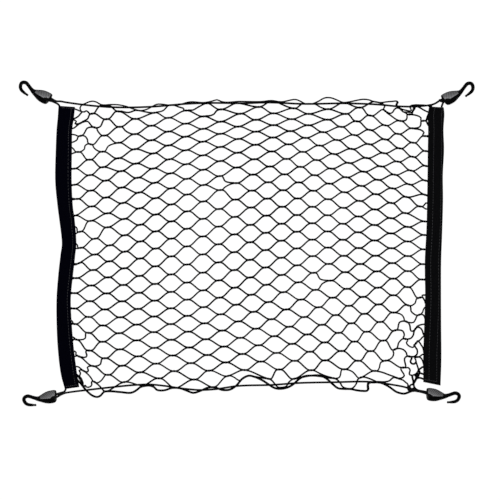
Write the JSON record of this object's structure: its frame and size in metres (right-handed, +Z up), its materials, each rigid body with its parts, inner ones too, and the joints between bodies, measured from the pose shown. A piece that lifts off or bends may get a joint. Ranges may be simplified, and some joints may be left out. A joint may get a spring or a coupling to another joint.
{
  "type": "cargo net",
  "caption": "Flat diamond-mesh cargo net between two folded tape bands, with elastic edge cords and hooks at its corners.",
  "frame": {"origin": "middle of the net's overall rectangle, on the surface that it lies on", "axes": "+X to the right along the net's long side, +Y towards its top edge, +Z up out of the surface"},
  "size_m": [0.8194, 0.586, 0.0213],
  "materials": {
    "twine": "black knotless polyester twine, matt",
    "tape": "black woven polyester tape, folded and stitched, matt",
    "elastic": "braided elastic cord with a black sheath, slight sheen",
    "hook_plastic": "black moulded plastic, satin, with fine ribs on the face"
  },
  "bodies": {
    "root": {"net": "twine", "band_left": "tape", "band_right": "tape", "edge_cord_top": "elastic", "edge_cord_bottom": "elastic", "hook_top_left": "hook_plastic", "hook_bottom_left": "hook_plastic", "hook_top_right": "hook_plastic", "hook_bottom_right": "hook_plastic"}
  },
  "joints": []
}
